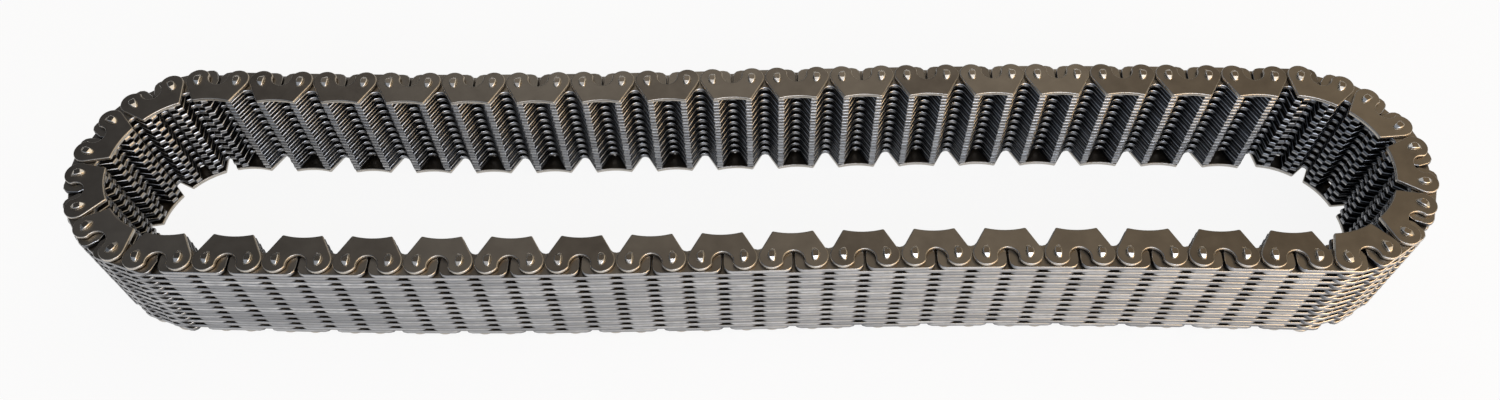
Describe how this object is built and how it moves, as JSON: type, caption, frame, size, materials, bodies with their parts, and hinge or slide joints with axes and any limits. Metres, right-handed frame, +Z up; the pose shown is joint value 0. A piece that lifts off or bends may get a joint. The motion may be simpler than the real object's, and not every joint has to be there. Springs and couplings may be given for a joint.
{
  "type": "silent chain",
  "caption": "Closed loop of inverted-tooth chain on its side, with toothed link plates, guide plates on both faces, long pins and rockers.",
  "frame": {"origin": "centre of the loop, on the surface that it lies on", "axes": "+X along the straight runs, +Z up, across the width of the chain, so every pin is parallel to Z"},
  "size_m": [0.3854, 0.0722, 0.0386],
  "materials": {
    "guide_plate": "tempered steel plate, brownish and satin",
    "link_plate": "blanked steel plate with bright edges",
    "pin": "hardened steel, bright",
    "rocker": "hardened steel, bright"
  },
  "bodies": {
    "front_run": {"front_run_guide_plates": "guide_plate", "front_run_guide_row_links": "link_plate", "front_run_plain_row_links": "link_plate", "front_run_pins": "pin", "front_run_rockers": "rocker"},
    "right_entry_1": {"right_entry_1_guide_plates": "guide_plate", "right_entry_1_links": "link_plate", "right_entry_1_pins": "pin"},
    "right_entry_2": {"right_entry_2_links": "link_plate", "right_entry_2_rockers": "rocker"},
    "right_entry_3": {"right_entry_3_guide_plates": "guide_plate", "right_entry_3_links": "link_plate", "right_entry_3_pins": "pin"},
    "right_entry_4": {"right_entry_4_links": "link_plate", "right_entry_4_rockers": "rocker"},
    "right_bend": {"right_bend_guide_plates": "guide_plate", "right_bend_guide_row_links": "link_plate", "right_bend_plain_row_links": "link_plate", "right_bend_pins": "pin", "right_bend_rockers": "rocker"},
    "right_exit_1": {"right_exit_1_guide_plates": "guide_plate", "right_exit_1_links": "link_plate", "right_exit_1_pins": "pin"},
    "right_exit_2": {"right_exit_2_links": "link_plate", "right_exit_2_rockers": "rocker"},
    "right_exit_3": {"right_exit_3_guide_plates": "guide_plate", "right_exit_3_links": "link_plate", "right_exit_3_pins": "pin"},
    "right_exit_4": {"right_exit_4_links": "link_plate", "right_exit_4_rockers": "rocker"},
    "back_run": {"back_run_guide_plates": "guide_plate", "back_run_guide_row_links": "link_plate", "back_run_plain_row_links": "link_plate", "back_run_pins": "pin", "back_run_rockers": "rocker"},
    "left_entry_1": {"left_entry_1_links": "link_plate", "left_entry_1_rockers": "rocker"},
    "left_entry_2": {"left_entry_2_guide_plates": "guide_plate", "left_entry_2_links": "link_plate", "left_entry_2_pins": "pin"},
    "left_entry_3": {"left_entry_3_links": "link_plate", "left_entry_3_rockers": "rocker"},
    "left_entry_4": {"left_entry_4_guide_plates": "guide_plate", "left_entry_4_links": "link_plate", "left_entry_4_pins": "pin"},
    "left_bend": {"left_bend_guide_plates": "guide_plate", "left_bend_guide_row_links": "link_plate", "left_bend_plain_row_links": "link_plate", "left_bend_pins": "pin", "left_bend_rockers": "rocker"},
    "left_exit_1": {"left_exit_1_links": "link_plate", "left_exit_1_rockers": "rocker"},
    "left_exit_2": {"left_exit_2_guide_plates": "guide_plate", "left_exit_2_links": "link_plate", "left_exit_2_pins": "pin"},
    "left_exit_3": {"left_exit_3_links": "link_plate", "left_exit_3_rockers": "rocker"},
    "left_exit_4": {"left_exit_4_guide_plates": "guide_plate", "left_exit_4_links": "link_plate", "left_exit_4_pins": "pin"}
  },
  "joints": [
    {"name": "right_entry_joint_1", "type": "hinge", "parent": "front_run", "child": "right_entry_1", "pos_m": [0.16111, -0.03006, 0.01931], "axis": [0, 0, -1], "range_deg": [0, 18]},
    {"name": "right_entry_joint_2", "type": "hinge", "parent": "right_entry_1", "child": "right_entry_2", "pos_m": [0.17025, -0.02735, 0.01931], "axis": [0, 0, -1], "range_deg": [0, 18]},
    {"name": "right_entry_joint_3", "type": "hinge", "parent": "right_entry_2", "child": "right_entry_3", "pos_m": [0.1781, -0.02196, 0.01931], "axis": [0, 0, -1], "range_deg": [0, 18]},
    {"name": "right_entry_joint_4", "type": "hinge", "parent": "right_entry_3", "child": "right_entry_4", "pos_m": [0.18389, -0.0144, 0.01931], "axis": [0, 0, -1], "range_deg": [0, 18]},
    {"name": "right_entry_joint_5", "type": "hinge", "parent": "right_entry_4", "child": "right_bend", "pos_m": [0.18707, -0.00542, 0.01931], "axis": [0, 0, -1], "range_deg": [0, 18]},
    {"name": "right_exit_joint_1", "type": "hinge", "parent": "right_bend", "child": "right_exit_1", "pos_m": [0.15316, 0.03031, 0.01931], "axis": [0, 0, 1], "range_deg": [0, 18]},
    {"name": "right_exit_joint_2", "type": "hinge", "parent": "right_exit_1", "child": "right_exit_2", "pos_m": [0.14364, 0.03055, 0.01931], "axis": [0, 0, 1], "range_deg": [0, 18]},
    {"name": "right_exit_joint_3", "type": "hinge", "parent": "right_exit_2", "child": "right_exit_3", "pos_m": [0.13411, 0.03077, 0.01931], "axis": [0, 0, 1], "range_deg": [0, 18]},
    {"name": "right_exit_joint_4", "type": "hinge", "parent": "right_exit_3", "child": "right_exit_4", "pos_m": [0.12459, 0.03097, 0.01931], "axis": [0, 0, 1], "range_deg": [0, 18]},
    {"name": "left_exit_joint_5", "type": "hinge", "parent": "front_run", "child": "left_exit_4", "pos_m": [-0.11507, -0.03114, 0.01931], "axis": [0, 0, -1], "range_deg": [0, 18]},
    {"name": "left_exit_joint_4", "type": "hinge", "parent": "left_exit_4", "child": "left_exit_3", "pos_m": [-0.12459, -0.03097, 0.01931], "axis": [0, 0, -1], "range_deg": [0, 18]},
    {"name": "left_exit_joint_3", "type": "hinge", "parent": "left_exit_3", "child": "left_exit_2", "pos_m": [-0.13411, -0.03077, 0.01931], "axis": [0, 0, -1], "range_deg": [0, 18]},
    {"name": "left_exit_joint_2", "type": "hinge", "parent": "left_exit_2", "child": "left_exit_1", "pos_m": [-0.14364, -0.03055, 0.01931], "axis": [0, 0, -1], "range_deg": [0, 18]},
    {"name": "left_exit_joint_1", "type": "hinge", "parent": "left_exit_1", "child": "left_bend", "pos_m": [-0.15316, -0.03031, 0.01931], "axis": [0, 0, -1], "range_deg": [0, 18]},
    {"name": "left_entry_joint_5", "type": "hinge", "parent": "left_bend", "child": "left_entry_4", "pos_m": [-0.18707, 0.00542, 0.01931], "axis": [0, 0, 1], "range_deg": [0, 18]},
    {"name": "left_entry_joint_4", "type": "hinge", "parent": "left_entry_4", "child": "left_entry_3", "pos_m": [-0.18389, 0.0144, 0.01931], "axis": [0, 0, 1], "range_deg": [0, 18]},
    {"name": "left_entry_joint_3", "type": "hinge", "parent": "left_entry_3", "child": "left_entry_2", "pos_m": [-0.1781, 0.02196, 0.01931], "axis": [0, 0, 1], "range_deg": [0, 18]},
    {"name": "left_entry_joint_2", "type": "hinge", "parent": "left_entry_2", "child": "left_entry_1", "pos_m": [-0.17025, 0.02735, 0.01931], "axis": [0, 0, 1], "range_deg": [0, 18]},
    {"name": "left_entry_joint_1", "type": "hinge", "parent": "left_entry_1", "child": "back_run", "pos_m": [-0.16111, 0.03006, 0.01931], "axis": [0, 0, 1], "range_deg": [0, 18]}
  ],
  "couplings": [
    {"joint": "right_exit_joint_1", "follows": "right_entry_joint_1", "ratio": 1},
    {"joint": "left_exit_joint_1", "follows": "right_entry_joint_1", "ratio": 1},
    {"joint": "left_entry_joint_1", "follows": "right_entry_joint_1", "ratio": 1},
    {"joint": "right_exit_joint_2", "follows": "right_entry_joint_2", "ratio": 1},
    {"joint": "left_exit_joint_2", "follows": "right_entry_joint_2", "ratio": 1},
    {"joint": "left_entry_joint_2", "follows": "right_entry_joint_2", "ratio": 1},
    {"joint": "right_exit_joint_3", "follows": "right_entry_joint_3", "ratio": 1},
    {"joint": "left_exit_joint_3", "follows": "right_entry_joint_3", "ratio": 1},
    {"joint": "left_entry_joint_3", "follows": "right_entry_joint_3", "ratio": 1},
    {"joint": "right_exit_joint_4", "follows": "right_entry_joint_4", "ratio": 1},
    {"joint": "left_exit_joint_4", "follows": "right_entry_joint_4", "ratio": 1},
    {"joint": "left_entry_joint_4", "follows": "right_entry_joint_4", "ratio": 1},
    {"joint": "left_exit_joint_5", "follows": "right_entry_joint_5", "ratio": 1},
    {"joint": "left_entry_joint_5", "follows": "right_entry_joint_5", "ratio": 1}
  ]
}
